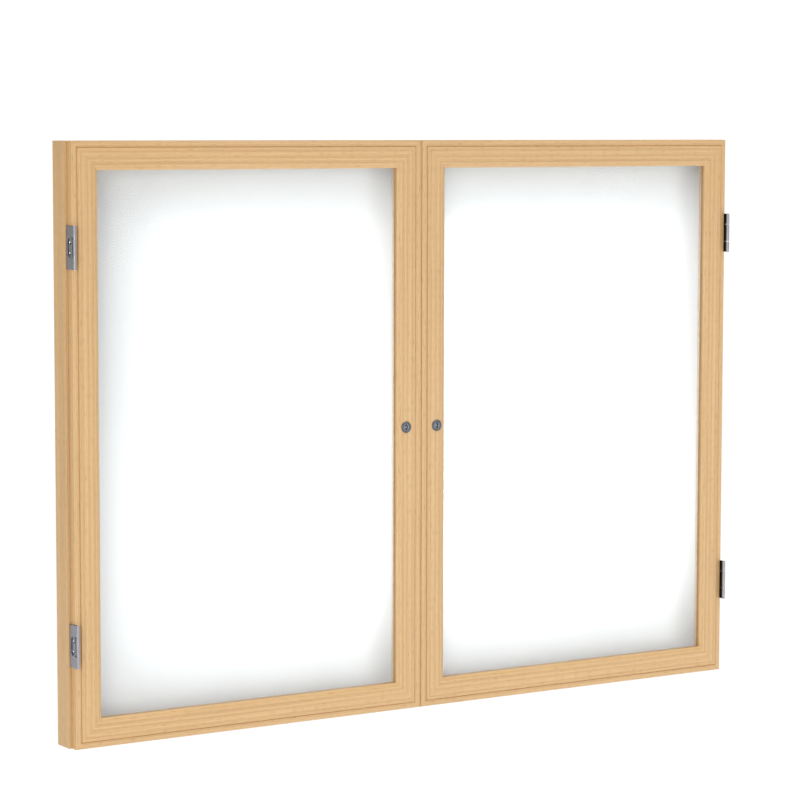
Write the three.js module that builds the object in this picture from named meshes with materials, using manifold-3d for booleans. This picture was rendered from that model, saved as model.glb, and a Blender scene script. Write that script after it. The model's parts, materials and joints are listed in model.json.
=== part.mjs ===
// Wall-hung notice board with two lockable, glazed doors in mitred oak-look frames.
// Millimetres, +Z up. The origin is the centre of the back face, which lies on the wall.
// The doors face -Y and +X is to the right of someone who reads the board.

import * as THREE from 'three';
import { mergeVertices } from 'three/addons/utils/BufferGeometryUtils.js';
import Module from 'manifold-3d';

const wasm = await Module();
wasm.setup();

// Board
const boardWidth = 1219.2;
const boardHeight = 895;

// Clearances between pieces that are fitted together
const seatGap = 0.3;
const layerGap = 0.2;
const mitreGap = 0.15;
const letInGap = 0.1;
const overrun = 2;

// Cabinet, the box behind the doors
const cabinetDepth = 38;
const cabinetWall = 18;
const cabinetArris = 0.8;
const backRebateWidth = 8;
const coreThickness = 9;
const sheetThickness = 1;
const postWidth = 20;

// Doors
const doorSideStep = 4.4;
const doorBackGap = 1;
const meetingGap = 3.2;
const memberWidth = 42.8;
const bandWidth = 9.5;
const bandThickness = 11;
const faceRise = 2.75;
const outerRound = 2.4;
const quirkWidth = 1.2;
const quirkDepth = 1.4;
const faceArris = 0.6;
const sightBevelWidth = 6.3;
const sightBevelDepth = 3.3;
const sightLip = 4.1;
const paneRebateWidth = 7;
const paneThickness = 3;
const beadLipWidth = 2;
const beadLipHeight = 3;

// Hinges
const hingeLength = 63.5;
const hingeFromEdge = 154.7;
const leafThickness = 1.8;
const leafGap = 0.4;
const footLength = 14;
const barrelRadius = 2.6;
const axisInset = 0.3;
const axisFromBand = 10.2;
const seamFromSlot = 0.15;
const knuckleGap = 1;
const knuckleSlitDepth = 8;
const pinRadius = 1.2;
const runningGap = 0.08;
const pinTip = 1.2;
const accessSlotRadius = 6.3;
const leafScrewSpread = 15.6;
const leafScrewFromCabinet = 9.2;
const footScrewFromEnd = 12;

// Screws
const leafScrew = {
  head: 3.3, dome: 1.1, rim: 0.3, cone: 1.5, shank: 1.45, length: 14, point: 3, slot: 0.9, sink: 1.3,
};
const footScrew = {
  head: 3, dome: 0, rim: 0.3, cone: 1.5, shank: 1.4, length: 16, point: 3, slot: 0.8, sink: 0.8,
};

// Locks
const lockFromMeetingEdge = 27;
const flangeRadius = 9;
const flangeThickness = 1.7;
const flangeBevel = 0.6;
const barrelLockRadius = 6.6;
const plugRadius = 4.2;
const plugHeadRadius = 5.2;
const plugHeadDepth = 2.2;
const plugSet = 0.5;
const keySlotWidth = 1.6;
const keySlotHeight = 7;
const keySlotDepth = 5;
const nutAcrossFlats = 20;
const nutThickness = 3;
const tailSquare = 5.4;
const camThickness = 2;
const camHalfWidth = 6;
const camNose = 3;
const camToPost = 1.5;
const camScrewHead = 4.2;
const camScrewHeadThickness = 1.6;
const camScrewShank = 1.5;
const camScrewLength = 7;

// Strike plate on the centre post
const strikeThickness = 1.5;
const strikeWidth = 35;
const strikeHeight = 60;
const prongWidth = 6;
const prongThickness = 1.5;
const prongLength = 8;
const prongSpread = 36;

// Hanger plates in the back
const hangerWidth = 24;
const hangerHeight = 52;
const hangerThickness = 1.5;
const hangerFromCentre = 400;
const hangerFromTop = 60;
const keyholeRadius = 6;
const keyholeSlot = 6;
const keyholeRise = 16;
const hangerPocketDepth = 5;

// Facets of the round pieces
const arcSteps = 4;
const domeSteps = 3;
const screwSides = 12;
const barrelSides = 18;
const lockSides = 28;

// Places worked out from the sizes
const halfWidth = boardWidth / 2;
const halfHeight = boardHeight / 2;
const doorSide = halfWidth - doorSideStep;
const doorWidth = doorSide - meetingGap / 2;
const doorCentre = (doorSide + meetingGap / 2) / 2;
const doorBack = cabinetDepth + doorBackGap;
const faceThickness = bandThickness + faceRise;
const paneRebateDepth = faceThickness - sightBevelDepth - sightLip;
const backRebateDepth = coreThickness + layerGap + sheetThickness + layerGap;
const axisAcross = doorSide - axisInset;
const axisForward = doorBack + bandThickness + axisFromBand;
const hingeUp = halfHeight - hingeFromEdge;
const footScrewSpread = hingeLength - 2 * footScrewFromEnd;
const lockAcross = meetingGap / 2 + lockFromMeetingEdge;
const housingLength = faceThickness + layerGap + nutThickness + layerGap;
const leafOuterInset = doorSideStep - leafGap - leafThickness;
const footScrewInset = leafOuterInset + (leafThickness + footLength) / 2;
const hangerUp = halfHeight - hangerFromTop;

// Finishes
const oak = { color: 0xe2bd8c, roughness: 0.55, metalness: 0 };
const white = { color: 0xf6f8f8, roughness: 0.25, metalness: 0 };
const fibreboard = { color: 0x9a7a55, roughness: 0.9, metalness: 0 };
const clear = { color: 0xf2f8f8, roughness: 0.05, metalness: 0, transparent: true, opacity: 0.25 };
const steel = { color: 0x9a9ca2, roughness: 0.35, metalness: 0.9 };
const brightSteel = { color: 0xc8ccd2, roughness: 0.25, metalness: 1 };
const lockMetal = { color: 0x8c929b, roughness: 0.35, metalness: 0.9 };
const beadWood = { color: 0xd0ab7c, roughness: 0.6, metalness: 0 };

// Bare position-only geometry with shared vertices, faces turned outward
function closedGeometry(geometry) {
  const bare = new THREE.BufferGeometry();
  bare.setAttribute('position', geometry.getAttribute('position').clone());
  const source = geometry.index;
  if (source) bare.setIndex(source.clone());
  const merged = mergeVertices(bare);
  const place = merged.getAttribute('position');
  const corners = merged.index.array;
  const kept = [];
  let volume = 0;
  for (let i = 0; i < corners.length; i += 3) {
    const [a, b, c] = [corners[i], corners[i + 1], corners[i + 2]];
    if (a === b || b === c || c === a) continue;
    const [p, q, r] = [a, b, c].map((n) => new THREE.Vector3().fromBufferAttribute(place, n));
    volume += p.dot(q.cross(r));
    kept.push(a, b, c);
  }
  if (volume < 0) kept.reverse();
  merged.setIndex(kept);
  return merged;
}

function solidOf(geometry) {
  const closed = closedGeometry(geometry);
  const vertProperties = new Float32Array(closed.getAttribute('position').array);
  const triVerts = new Uint32Array(closed.index.array);
  return new wasm.Manifold(new wasm.Mesh({ numProp: 3, vertProperties, triVerts }));
}

function geometryOf(solid) {
  const cut = solid.getMesh();
  const geometry = new THREE.BufferGeometry();
  geometry.setAttribute('position', new THREE.BufferAttribute(new Float32Array(cut.vertProperties), 3));
  geometry.setIndex(new THREE.BufferAttribute(new Uint32Array(cut.triVerts), 1));
  return geometry;
}

// One base geometry with others joined on, and then others cut away
function worked(base, joined, cut) {
  let solid = solidOf(base);
  for (const piece of joined) solid = solid.add(solidOf(piece));
  for (const piece of cut) solid = solid.subtract(solidOf(piece));
  return geometryOf(solid);
}

// A block between two values on each axis, given in either order
function block([xa, xb], [ya, yb], [za, zb]) {
  const size = [xb - xa, yb - ya, zb - za].map(Math.abs);
  return new THREE.BoxGeometry(...size).translate((xa + xb) / 2, (ya + yb) / 2, (za + zb) / 2);
}

// Cylinders between two values along one axis
function rodAlongZ(radius, [za, zb], sides, x = 0, y = 0) {
  const rod = new THREE.CylinderGeometry(radius, radius, Math.abs(zb - za), sides);
  return rod.rotateX(Math.PI / 2).translate(x, y, (za + zb) / 2);
}

function rodAlongY(radius, [ya, yb], sides, x = 0, z = 0) {
  return new THREE.CylinderGeometry(radius, radius, Math.abs(yb - ya), sides).translate(x, (ya + yb) / 2, z);
}

function rodAlongX(radius, [xa, xb], sides, y = 0, z = 0) {
  const rod = new THREE.CylinderGeometry(radius, radius, Math.abs(xb - xa), sides);
  return rod.rotateZ(Math.PI / 2).translate((xa + xb) / 2, y, z);
}

// A turned piece from pairs of radius and place along Y
function turned(pairs, sides) {
  return closedGeometry(new THREE.LatheGeometry(pairs.map(([r, y]) => new THREE.Vector2(r, y)), sides));
}

// A flat piece cut from a sheet that faces -Y, its back at y = 0
function plateFacingFront(shape, thickness, curveSegments = barrelSides / 2) {
  const plate = new THREE.ExtrudeGeometry(shape, { depth: thickness, bevelEnabled: false, curveSegments });
  return closedGeometry(plate.rotateX(Math.PI / 2));
}

function piece(name, geometry, finish) {
  const mesh = new THREE.Mesh(geometry, new THREE.MeshStandardMaterial(finish));
  mesh.name = name;
  return mesh;
}

function groupAt(x, y, z) {
  const group = new THREE.Group();
  group.position.set(x, y, z);
  return group;
}

// A frame member is drawn as a section of pairs (inset from the outer edge, height above its back)
// and runs along X with both ends mitred, its outer edge up and its face to the front.
function mitredMember(length, section) {
  const count = section.length;
  const places = [];
  for (const end of [-1, 1]) {
    for (const [inset, height] of section) {
      places.push(end * (length / 2 - inset - mitreGap), -height, -inset);
    }
  }
  const corners = [];
  for (let i = 0; i < count; i += 1) {
    const next = (i + 1) % count;
    corners.push(i, count + next, next, i, count + i, count + next);
  }
  const outline = section.map(([inset, height]) => new THREE.Vector2(inset, height));
  for (const [a, b, c] of THREE.ShapeUtils.triangulateShape(outline, [])) {
    corners.push(a, b, c, count + a, count + c, count + b);
  }
  const geometry = new THREE.BufferGeometry();
  geometry.setAttribute('position', new THREE.BufferAttribute(new Float32Array(places), 3));
  geometry.setIndex(corners);
  return closedGeometry(geometry);
}

// Cuts marked out on a member: along its length, in from its outer edge, up from its back
const memberBlock = (along, inset, height) => (
  block(along, height.map((h) => -h), inset.map((u) => -u))
);
const memberHoleThrough = (radius, along, inset, height, sides) => (
  rodAlongY(radius, height.map((h) => -h), sides, along, -inset)
);
const memberHoleFromEdge = (radius, along, inset, height, sides) => (
  rodAlongZ(radius, inset.map((u) => -u), sides, along, -height)
);

// The four sides of a mitred frame, each turned about Y to its place
const sideTurns = { top: 0, right: Math.PI / 2, bottom: Math.PI, left: -Math.PI / 2 };

function placeSide(mesh, side, width, height) {
  const across = { top: 0, right: width / 2, bottom: 0, left: -width / 2 }[side];
  const up = { top: height / 2, right: 0, bottom: -height / 2, left: 0 }[side];
  mesh.position.set(across, 0, up);
  mesh.rotation.y = sideTurns[side];
  return mesh;
}

// Cabinet sides, with a rebate at the back for the panel
const cabinetSection = [
  [0, 0],
  [cabinetWall - backRebateWidth, 0],
  [cabinetWall - backRebateWidth, backRebateDepth],
  [cabinetWall, backRebateDepth],
  [cabinetWall, cabinetDepth - cabinetArris],
  [cabinetWall - cabinetArris, cabinetDepth],
  [cabinetArris, cabinetDepth],
  [0, cabinetDepth - cabinetArris],
];

// Pockets for the feet of the hinge leaves, and the holes of their screws
function cabinetSideCuts() {
  const cuts = [];
  const halfPocket = hingeLength / 2 + layerGap;
  const pocketInset = [leafOuterInset - letInGap, leafOuterInset + footLength + layerGap];
  const pocketHeight = [cabinetDepth - leafThickness - letInGap, cabinetDepth + overrun];
  for (const hinge of [-hingeUp, hingeUp]) {
    cuts.push(memberBlock([hinge - halfPocket, hinge + halfPocket], pocketInset, pocketHeight));
    for (const screw of [-footScrewSpread / 2, footScrewSpread / 2]) {
      const depth = [cabinetDepth - footScrew.length - seatGap, cabinetDepth];
      const hole = footScrew.shank + letInGap;
      cuts.push(memberHoleThrough(hole, hinge + screw, footScrewInset, depth, screwSides));
    }
  }
  return cuts;
}

function cabinetFrame() {
  const frame = new THREE.Group();
  for (const side of ['top', 'bottom']) {
    const rail = mitredMember(boardWidth, cabinetSection);
    frame.add(placeSide(piece(`cabinet_${side}_rail`, rail, oak), side, boardWidth, boardHeight));
  }
  for (const side of ['left', 'right']) {
    const upright = worked(mitredMember(boardHeight, cabinetSection), [], cabinetSideCuts());
    frame.add(placeSide(piece(`cabinet_${side}_side`, upright, oak), side, boardWidth, boardHeight));
  }
  return frame;
}

// The panel in the back rebate: a fibreboard core with a white enamelled sheet on its front
const panelHalfWidth = halfWidth - cabinetWall + backRebateWidth - seatGap;
const panelHalfHeight = halfHeight - cabinetWall + backRebateWidth - seatGap;

function hangerPockets() {
  const cuts = [];
  for (const side of [-1, 1]) {
    const x = side * hangerFromCentre;
    const halfPlate = hangerWidth / 2 + letInGap;
    const plateRise = hangerHeight / 2 + letInGap;
    const depth = hangerThickness + letInGap;
    const plateTall = [hangerUp - plateRise, hangerUp + plateRise];
    cuts.push(block([x - halfPlate, x + halfPlate], [-depth, overrun], plateTall));
    const bottom = hangerUp - keyholeRise / 2 - keyholeRadius - layerGap;
    const top = hangerUp + keyholeRise / 2 + keyholeRadius + layerGap;
    const halfPocket = keyholeRadius + layerGap;
    cuts.push(block([x - halfPocket, x + halfPocket], [-depth - hangerPocketDepth, overrun], [bottom, top]));
  }
  return cuts;
}

function backPanel() {
  const panel = new THREE.Group();
  const wide = [-panelHalfWidth, panelHalfWidth];
  const tall = [-panelHalfHeight, panelHalfHeight];
  const core = worked(block(wide, [-coreThickness, 0], tall), [], hangerPockets());
  panel.add(piece('backing_board', core, fibreboard));
  const sheetBack = -coreThickness - layerGap;
  const sheet = closedGeometry(block(wide, [sheetBack - sheetThickness, sheetBack], tall));
  panel.add(piece('writing_sheet', sheet, white));
  return panel;
}

// A plate with a keyhole, wide end down, that drops over a wall screw
function hangerPlates() {
  const group = new THREE.Group();
  for (const [name, side] of [['left', -1], ['right', 1]]) {
    const halfWide = hangerWidth / 2;
    const halfTall = hangerHeight / 2;
    const shape = new THREE.Shape();
    shape.moveTo(-halfWide, -halfTall);
    shape.lineTo(halfWide, -halfTall);
    shape.lineTo(halfWide, halfTall);
    shape.lineTo(-halfWide, halfTall);
    shape.closePath();
    const hole = new THREE.Path();
    const slotAngle = Math.asin(keyholeSlot / 2 / keyholeRadius);
    const low = -keyholeRise / 2;
    hole.absarc(0, low, keyholeRadius, Math.PI / 2 + slotAngle, Math.PI * 2.5 - slotAngle, false);
    hole.absarc(0, low + keyholeRise, keyholeSlot / 2, 0, Math.PI, false);
    hole.closePath();
    shape.holes.push(hole);
    const plate = piece(`hanger_plate_${name}`, plateFacingFront(shape, hangerThickness), steel);
    plate.position.set(side * hangerFromCentre, 0, hangerUp);
    group.add(plate);
  }
  return group;
}

// The post behind the meeting stiles, with a recess in its front for the strike plate
function centrePost() {
  const halfPost = postWidth / 2;
  const rise = halfHeight - cabinetWall - seatGap;
  const back = -backRebateDepth;
  const cuts = [];
  const recessBack = -cabinetDepth + strikeThickness + letInGap;
  const halfRecess = strikeHeight / 2 + layerGap;
  const across = halfPost + overrun;
  cuts.push(block([-across, across], [-cabinetDepth - overrun, recessBack], [-halfRecess, halfRecess]));
  for (const up of [-prongSpread / 2, prongSpread / 2]) {
    const halfWide = prongWidth / 2 + letInGap;
    const halfThick = prongThickness / 2 + letInGap;
    const depth = [recessBack - overrun, -cabinetDepth + strikeThickness + prongLength + seatGap];
    cuts.push(block([-halfWide, halfWide], depth, [up - halfThick, up + halfThick]));
  }
  const post = block([-halfPost, halfPost], [-cabinetDepth, back], [-rise, rise]);
  return piece('centre_post', worked(post, [], cuts), oak);
}

// The steel plate whose wings the cams turn behind, driven into the post on two prongs
function strikePlate() {
  const halfWide = strikeWidth / 2;
  const halfTall = strikeHeight / 2;
  const back = -cabinetDepth + strikeThickness;
  const prongs = [];
  for (const up of [-prongSpread / 2, prongSpread / 2]) {
    const wide = [-prongWidth / 2, prongWidth / 2];
    const tall = [up - prongThickness / 2, up + prongThickness / 2];
    prongs.push(block(wide, [-cabinetDepth + strikeThickness / 2, back + prongLength], tall));
  }
  const plate = block([-halfWide, halfWide], [-cabinetDepth, back], [-halfTall, halfTall]);
  return piece('strike_plate', worked(plate, prongs, []), steel);
}

// Door section: rounded outer edge, low band, quirk, raised face, and the pane's rebate behind
function doorSection() {
  const section = [
    [0, 0],
    [memberWidth - paneRebateWidth, 0],
    [memberWidth - paneRebateWidth, paneRebateDepth],
    [memberWidth, paneRebateDepth],
    [memberWidth, faceThickness - sightBevelDepth],
    [memberWidth - sightBevelWidth, faceThickness],
    [bandWidth + faceArris, faceThickness],
    [bandWidth, faceThickness - faceArris],
    [bandWidth, bandThickness - quirkDepth],
    [bandWidth - quirkWidth, bandThickness - quirkDepth],
    [bandWidth - quirkWidth, bandThickness],
  ];
  for (let step = 0; step <= arcSteps; step += 1) {
    const angle = Math.PI / 2 * (1 + step / arcSteps);
    const inset = outerRound + outerRound * Math.cos(angle);
    section.push([inset, bandThickness - outerRound + outerRound * Math.sin(angle)]);
  }
  return section;
}

// Mortises for the door leaves in the hinge stile's edge, and the holes of their screws
function hingeStileCuts() {
  const cuts = [];
  const halfMortise = hingeLength / 2 + layerGap;
  const screwHeight = leafScrewFromCabinet - doorBackGap;
  for (const hinge of [-hingeUp, hingeUp]) {
    const along = [hinge - halfMortise, hinge + halfMortise];
    cuts.push(memberBlock(along, [-overrun, leafThickness + letInGap], [-overrun, faceThickness + overrun]));
    for (const screw of [-leafScrewSpread / 2, leafScrewSpread / 2]) {
      const depth = [0, leafScrew.length + seatGap];
      const hole = leafScrew.shank + letInGap;
      cuts.push(memberHoleFromEdge(hole, hinge + screw, depth, screwHeight, screwSides));
    }
  }
  return cuts;
}

// The hole for the lock's barrel in the meeting stile
function lockStileCuts() {
  const through = [-overrun, faceThickness + overrun];
  return [memberHoleThrough(barrelLockRadius + letInGap, 0, lockFromMeetingEdge, through, lockSides)];
}

function doorMembers(name, hingeSide) {
  const members = new THREE.Group();
  const section = doorSection();
  const lockSide = hingeSide === 'left' ? 'right' : 'left';
  const place = (part, side) => members.add(placeSide(part, side, doorWidth, boardHeight));
  for (const side of ['top', 'bottom']) {
    place(piece(`${name}_door_${side}_rail`, mitredMember(doorWidth, section), oak), side);
  }
  const hingeStile = worked(mitredMember(boardHeight, section), [], hingeStileCuts());
  place(piece(`${name}_door_hinge_stile`, hingeStile, oak), hingeSide);
  const lockStile = worked(mitredMember(boardHeight, section), [], lockStileCuts());
  place(piece(`${name}_door_lock_stile`, lockStile, oak), lockSide);
  return members;
}

// A flat ring that faces -Y, from the sight opening out by the width given, its back at y = 0
function sightRing(sightAcross, sightUp, width, thickness) {
  const [across, up] = [sightAcross + width, sightUp + width];
  const shape = new THREE.Shape();
  shape.moveTo(-across, -up);
  shape.lineTo(across, -up);
  shape.lineTo(across, up);
  shape.lineTo(-across, up);
  shape.closePath();
  const opening = new THREE.Path();
  opening.moveTo(-sightAcross, -sightUp);
  opening.lineTo(-sightAcross, sightUp);
  opening.lineTo(sightAcross, sightUp);
  opening.lineTo(sightAcross, -sightUp);
  opening.closePath();
  shape.holes.push(opening);
  return plateFacingFront(shape, thickness);
}

// The pane in its rebate, and the bead behind it that holds it there.
// The bead's inner edge stands up behind the door's back.
function glazing(name) {
  const group = new THREE.Group();
  const sightAcross = doorWidth / 2 - memberWidth;
  const sightUp = halfHeight - memberWidth;
  const edge = paneRebateWidth - seatGap;
  const paneFront = -paneRebateDepth + layerGap;
  const paneBack = paneFront + paneThickness;
  const across = [-sightAcross - edge, sightAcross + edge];
  const up = [-sightUp - edge, sightUp + edge];
  group.add(piece(`${name}_pane`, closedGeometry(block(across, [paneFront, paneBack], up)), clear));
  const beadThickness = -paneBack - layerGap;
  const bead = sightRing(sightAcross, sightUp, edge, beadThickness);
  const lip = sightRing(sightAcross, sightUp, beadLipWidth, beadThickness + beadLipHeight);
  const joined = worked(bead, [lip.translate(0, beadLipHeight, 0)], []);
  group.add(piece(`${name}_glazing_bead`, joined, beadWood));
  return group;
}

// A countersunk screw along Y, the rim of its head at y = 0 and its face flat or domed to the front,
// with a cross recess
function screwGeometry(size) {
  const face = [[0, -size.dome]];
  for (let step = 1; size.dome > 0 && step < domeSteps; step += 1) {
    const angle = Math.PI / 2 * step / domeSteps;
    face.push([size.head * Math.sin(angle), -size.dome * Math.cos(angle)]);
  }
  const body = turned([
    ...face,
    [size.head, 0],
    [size.head, size.rim],
    [size.shank, size.cone],
    [size.shank, size.length - size.point],
    [0, size.length],
  ], screwSides);
  const reach = size.shank + size.slot / 2;
  const half = size.slot / 2;
  const depth = [-size.dome - overrun, size.sink - size.dome];
  const [long, short] = [[-reach, reach], [-half, half]];
  return worked(body, [], [block(long, depth, short), block(short, depth, long)]);
}

// The countersunk hole for such a screw through a leaf
function countersink(size) {
  return turned([
    [0, -overrun],
    [size.head + letInGap, -overrun],
    [size.head + letInGap, size.rim],
    [size.shank + letInGap, size.cone + letInGap / 2],
    [size.shank + letInGap, leafThickness + overrun],
    [0, leafThickness + overrun],
  ], screwSides);
}

// Hinge pieces are drawn about the pin, out being away from the board's middle.
// Three knuckles turn on one pin: the outer two on the cabinet leaf, the middle one on the door leaf.
// The slits between the knuckles run on into both leaves, past the ends of the access slot.
const knuckleSeam = leafScrewSpread / 2 + accessSlotRadius + seamFromSlot;
const knuckleHalf = knuckleSeam - knuckleGap / 2;
const knuckleOuter = [knuckleSeam + knuckleGap / 2, hingeLength / 2];
const notchDepth = barrelRadius + knuckleGap;
const leafScrewBack = axisForward - cabinetDepth - leafScrewFromCabinet;

function knuckleSlits() {
  const wide = barrelRadius + overrun;
  return [-1, 1].map((end) => (
    block([-wide, wide], [-wide, knuckleSlitDepth], [end * knuckleHalf, end * knuckleOuter[0]])
  ));
}

// The long slot with round ends in this leaf leaves the door leaf's screws within reach of a driver
function cabinetLeaf(out) {
  const inner = out * (axisInset + leafGap);
  const outer = out * (axisInset + leafGap + leafThickness);
  const cabinetFront = axisForward - cabinetDepth;
  const footBack = cabinetFront + leafThickness;
  const tall = [-hingeLength / 2, hingeLength / 2];
  const foot = block([outer, outer - out * footLength], [cabinetFront, footBack], tall);
  const knuckle = (end) => rodAlongZ(barrelRadius, knuckleOuter.map((z) => end * z), barrelSides);
  const wide = barrelRadius + overrun;
  const cuts = [block([-wide, wide], [-wide, notchDepth], [-knuckleOuter[0], knuckleOuter[0]])];
  cuts.push(rodAlongZ(pinRadius + runningGap, tall.map((z) => z * 2), barrelSides));
  const reach = [inner - out * overrun, outer + out * overrun];
  const slotDepth = [leafScrewBack - accessSlotRadius, leafScrewBack + accessSlotRadius];
  cuts.push(block(reach, slotDepth, [-leafScrewSpread / 2, leafScrewSpread / 2]));
  for (const end of [-1, 1]) {
    const screwUp = end * leafScrewSpread / 2;
    cuts.push(rodAlongX(accessSlotRadius, reach, barrelSides, leafScrewBack, screwUp));
    const footHole = countersink(footScrew);
    const holeX = outer - out * (leafThickness + footLength) / 2;
    cuts.push(footHole.translate(holeX, cabinetFront, end * footScrewSpread / 2));
  }
  const plate = block([inner, outer], [0, footBack], tall);
  return worked(plate, [foot, knuckle(-1), knuckle(1)], [...cuts, ...knuckleSlits()]);
}

function doorLeaf(out) {
  const outer = out * axisInset;
  const inner = out * (axisInset - leafThickness);
  const back = axisForward - doorBack - leafGap;
  const tall = [-hingeLength / 2, hingeLength / 2];
  const knuckle = rodAlongZ(barrelRadius, [-knuckleHalf, knuckleHalf], barrelSides);
  const wide = barrelRadius + overrun;
  const cuts = [-1, 1].map((end) => (
    block([-wide, wide], [-wide, notchDepth], [end * knuckleHalf, end * (hingeLength / 2 + overrun)])
  ));
  cuts.push(rodAlongZ(pinRadius + runningGap, tall, barrelSides));
  for (const end of [-1, 1]) {
    const hole = countersink(leafScrew).rotateZ(out * Math.PI / 2);
    cuts.push(hole.translate(outer, leafScrewBack, end * leafScrewSpread / 2));
  }
  const plate = block([inner, outer], [0, back], tall);
  return worked(plate, [knuckle], [...cuts, ...knuckleSlits()]);
}

function pinGeometry() {
  const half = hingeLength / 2;
  return turned([
    [0, -half - pinTip],
    [pinRadius / 2, -half - pinTip],
    [pinRadius, -half],
    [pinRadius, half],
    [pinRadius / 2, half + pinTip],
    [0, half + pinTip],
  ], barrelSides).rotateX(Math.PI / 2);
}

function hinge(side, level, out, up) {
  const name = `${side}_${level}`;
  const group = groupAt(out * axisAcross, -axisForward, up);
  group.add(piece(`${name}_hinge_cabinet_leaf`, cabinetLeaf(out), steel));
  group.add(piece(`${name}_hinge_door_leaf`, doorLeaf(out), steel));
  group.add(piece(`${name}_hinge_pin`, pinGeometry(), brightSteel));
  for (const [label, end] of [['high', 1], ['low', -1]]) {
    const screw = piece(`${name}_leaf_screw_${label}`, screwGeometry(leafScrew), brightSteel);
    screw.rotation.z = out * Math.PI / 2;
    screw.position.set(out * axisInset, leafScrewBack, end * leafScrewSpread / 2);
    group.add(screw);
    const foot = piece(`${name}_foot_screw_${label}`, screwGeometry(footScrew), brightSteel);
    const footX = out * (axisInset + leafGap + leafThickness - (leafThickness + footLength) / 2);
    foot.position.set(footX, axisForward - cabinetDepth, end * footScrewSpread / 2);
    group.add(foot);
  }
  return group;
}

// Lock pieces are drawn about the lock's axis, y = 0 being the stile's raised face
function lockHousing() {
  const bore = plugRadius + runningGap;
  const headBore = plugHeadRadius + runningGap;
  return turned([
    [bore, housingLength],
    [barrelLockRadius, housingLength],
    [barrelLockRadius, 0],
    [flangeRadius, 0],
    [flangeRadius, -flangeThickness + flangeBevel],
    [flangeRadius - flangeBevel, -flangeThickness],
    [headBore + flangeBevel, -flangeThickness],
    [headBore, -flangeThickness + flangeBevel],
    [headBore, plugHeadDepth],
    [bore, plugHeadDepth],
    [bore, housingLength],
  ], lockSides);
}

function lockPlug() {
  const front = -flangeThickness + plugSet;
  const headBack = plugHeadDepth - layerGap;
  const end = housingLength + layerGap;
  const body = turned([
    [0, front],
    [plugHeadRadius - flangeBevel, front],
    [plugHeadRadius, front + flangeBevel],
    [plugHeadRadius, headBack],
    [plugRadius, headBack],
    [plugRadius, end],
    [0, end],
  ], lockSides);
  const half = tailSquare / 2;
  const tail = block([-half, half], [end - overrun, end + camThickness + layerGap], [-half, half]);
  const slotWide = keySlotWidth / 2;
  const slotTall = keySlotHeight / 2;
  const slot = block([-slotWide, slotWide], [front - overrun, front + keySlotDepth], [-slotTall, slotTall]);
  const screwTop = end + camThickness + layerGap;
  const depth = [screwTop - camScrewLength - seatGap, screwTop + overrun];
  const screwHole = rodAlongY(camScrewShank + runningGap, depth, screwSides);
  return worked(body, [tail], [slot, screwHole]);
}

function lockNut() {
  const shape = new THREE.Shape();
  const corner = nutAcrossFlats / 2 / Math.cos(Math.PI / 6);
  for (let i = 0; i < 6; i += 1) {
    const angle = Math.PI / 3 * (i + 0.5);
    const place = [corner * Math.cos(angle), corner * Math.sin(angle)];
    if (i === 0) shape.moveTo(...place);
    else shape.lineTo(...place);
  }
  shape.closePath();
  const hole = new THREE.Path();
  hole.absarc(0, 0, barrelLockRadius + letInGap, 0, Math.PI * 2, true);
  shape.holes.push(hole);
  return plateFacingFront(shape, nutThickness, lockSides);
}

// The cam hangs from the plug's tail when unlocked, and its nose turns a quarter towards the post
function lockCam() {
  const reach = lockAcross - postWidth / 2 - camToPost;
  const shape = new THREE.Shape();
  shape.moveTo(-camHalfWidth, 0);
  shape.lineTo(-camHalfWidth, camNose - reach);
  shape.lineTo(camNose - camHalfWidth, -reach);
  shape.lineTo(camHalfWidth - camNose, -reach);
  shape.lineTo(camHalfWidth, camNose - reach);
  shape.lineTo(camHalfWidth, 0);
  shape.absarc(0, 0, camHalfWidth, 0, Math.PI, false);
  const half = tailSquare / 2 + runningGap;
  const hole = new THREE.Path();
  hole.moveTo(-half, -half);
  hole.lineTo(-half, half);
  hole.lineTo(half, half);
  hole.lineTo(half, -half);
  hole.closePath();
  shape.holes.push(hole);
  return plateFacingFront(shape, camThickness);
}

function camScrew() {
  const slot = camScrewHeadThickness / 2;
  const reach = camScrewHead + overrun;
  const head = turned([
    [0, -camScrewLength],
    [camScrewShank, -camScrewLength],
    [camScrewShank, 0],
    [camScrewHead, 0],
    [camScrewHead, camScrewHeadThickness],
    [0, camScrewHeadThickness],
  ], screwSides);
  const half = keySlotWidth / 2;
  return worked(head, [], [block([-reach, reach], [slot, slot + overrun], [-half, half])]);
}

function lock(side, out) {
  const group = groupAt(out * lockAcross, -doorBack - faceThickness, 0);
  const camFront = housingLength + layerGap + layerGap / 2;
  const add = (label, geometry, finish, y) => {
    const part = piece(`${side}_lock_${label}`, geometry, finish);
    part.position.y = y;
    group.add(part);
  };
  add('housing', lockHousing(), lockMetal, 0);
  add('nut', lockNut(), steel, faceThickness + layerGap + nutThickness);
  add('plug', lockPlug(), lockMetal, 0);
  add('cam', lockCam(), steel, camFront + camThickness);
  add('cam_screw', camScrew(), brightSteel, housingLength + layerGap + camThickness + layerGap * 2);
  return group;
}

// The whole board
const board = new THREE.Group();
board.add(cabinetFrame(), backPanel(), hangerPlates(), centrePost(), strikePlate());
for (const [side, out] of [['left', -1], ['right', 1]]) {
  const door = groupAt(out * doorCentre, -doorBack, 0);
  door.add(doorMembers(side, side), glazing(side));
  board.add(door, lock(side, out));
  board.add(hinge(side, 'upper', out, hingeUp), hinge(side, 'lower', out, -hingeUp));
}

export default board;
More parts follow.
